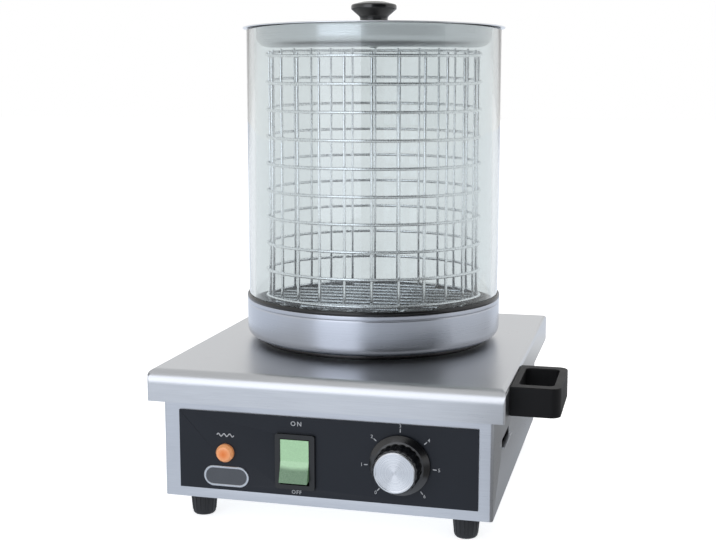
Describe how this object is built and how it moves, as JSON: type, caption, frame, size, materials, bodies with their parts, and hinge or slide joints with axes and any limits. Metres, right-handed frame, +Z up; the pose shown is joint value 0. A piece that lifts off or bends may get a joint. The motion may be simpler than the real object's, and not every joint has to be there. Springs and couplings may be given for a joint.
{
  "type": "hot dog steamer",
  "caption": "Countertop steamer: square steel base with heater and controls, round water pan, glass cylinder with a wire basket, and a dished lid with a knob.",
  "frame": {"origin": "middle of the bounding box's base, on the surface that the feet stand on", "axes": "+Z up, +X to the operator's right (side handle), -Y towards the operator (control panel)"},
  "size_m": [0.2916, 0.308, 0.38],
  "materials": {
    "cover_steel": "fine brushed stainless sheet",
    "housing_steel": "fine brushed stainless sheet",
    "plate_steel": "plain zinc-coated sheet",
    "fascia_paint": "dark satin paint",
    "pan_steel": "spun and polished stainless",
    "tray_steel": "plain stainless",
    "basket_wire": "bright drawn wire",
    "lid_steel": "spun and polished stainless",
    "glass_clear": "clear borosilicate",
    "seal_rubber": "black silicone",
    "foot_plastic": "black moulded",
    "handle_plastic": "black phenolic",
    "knob_plastic": "black phenolic",
    "cap_aluminium": "spun rings",
    "lens_orange": "translucent orange",
    "switch_black": "black moulded",
    "rocker_green": "translucent green",
    "zinc": "zinc plated",
    "brass_plain": "plain",
    "heater_alloy": "cast and machined",
    "element_sheath": "heat-darkened sheath",
    "copper_tube": "drawn copper",
    "lamp_shell": "black moulded",
    "thermostat_case": "cream moulded",
    "gland_plastic": "black nylon",
    "block_ceramic": "white porcelain"
  },
  "bodies": {
    "base": {"base_housing": "housing_steel", "top_cover": "cover_steel", "bottom_plate": "plate_steel", "bottom_screws": "zinc", "cover_studs": "zinc", "cover_nuts": "zinc", "foot_front_left": "foot_plastic", "foot_back_left": "foot_plastic", "foot_front_right": "foot_plastic", "foot_back_right": "foot_plastic", "foot_studs": "zinc", "foot_nuts": "zinc", "pan_gasket": "seal_rubber", "steam_pan": "pan_steel", "glass_seal": "seal_rubber", "pan_studs": "zinc", "pan_nuts": "zinc", "heater_plate": "heater_alloy", "heater_element": "element_sheath", "heater_clamp": "zinc", "heater_stud": "zinc", "heater_nut": "zinc", "thermal_cutout": "brass_plain", "sensor_bulb": "copper_tube", "bulb_clip": "zinc", "capillary": "copper_tube", "fascia_panel": "fascia_paint", "lamp_lens": "lens_orange", "lamp_body": "lamp_shell", "lamp_clip": "zinc", "switch_housing": "switch_black", "switch_terminals": "brass_plain", "thermostat_body": "thermostat_case", "thermostat_nut": "brass_plain", "side_handle": "handle_plastic", "handle_screws": "zinc", "cable_gland": "gland_plastic", "gland_nut": "gland_plastic", "terminal_block": "block_ceramic", "earth_stud": "brass_plain", "earth_nut": "brass_plain"},
    "tray": {"steam_tray": "tray_steel"},
    "glass": {"glass_cylinder": "glass_clear"},
    "basket": {"basket_rings": "basket_wire", "basket_uprights": "basket_wire", "basket_floor": "basket_wire", "basket_legs": "basket_wire"},
    "lid": {"lid_dish": "lid_steel", "lid_knob": "knob_plastic", "lid_knob_screw": "zinc"},
    "knob": {"thermostat_shaft": "zinc", "thermostat_knob": "knob_plastic", "knob_cap": "cap_aluminium"},
    "rocker": {"rocker": "rocker_green"}
  },
  "joints": [
    {"name": "tray_lift", "type": "slide", "parent": "base", "child": "tray", "axis": [0, 0, 1], "range_m": [0, 0.06]},
    {"name": "glass_lift", "type": "slide", "parent": "tray", "child": "glass", "axis": [0, 0, 1], "range_m": [0, 0.05]},
    {"name": "basket_lift", "type": "slide", "parent": "glass", "child": "basket", "axis": [0, 0, 1], "range_m": [0, 0.23]},
    {"name": "lid_lift", "type": "slide", "parent": "basket", "child": "lid", "axis": [0, 0, 1], "range_m": [0, 0.1]},
    {"name": "thermostat_turn", "type": "hinge", "parent": "base", "child": "knob", "pos_m": [0.03825, -0.1345, 0.0554], "axis": [0, 1, 0], "range_deg": [0, 282]},
    {"name": "rocker_tip", "type": "hinge", "parent": "base", "child": "rocker", "pos_m": [-0.03725, -0.133, 0.052], "axis": [1, 0, 0], "range_deg": [0, 18]}
  ]
}
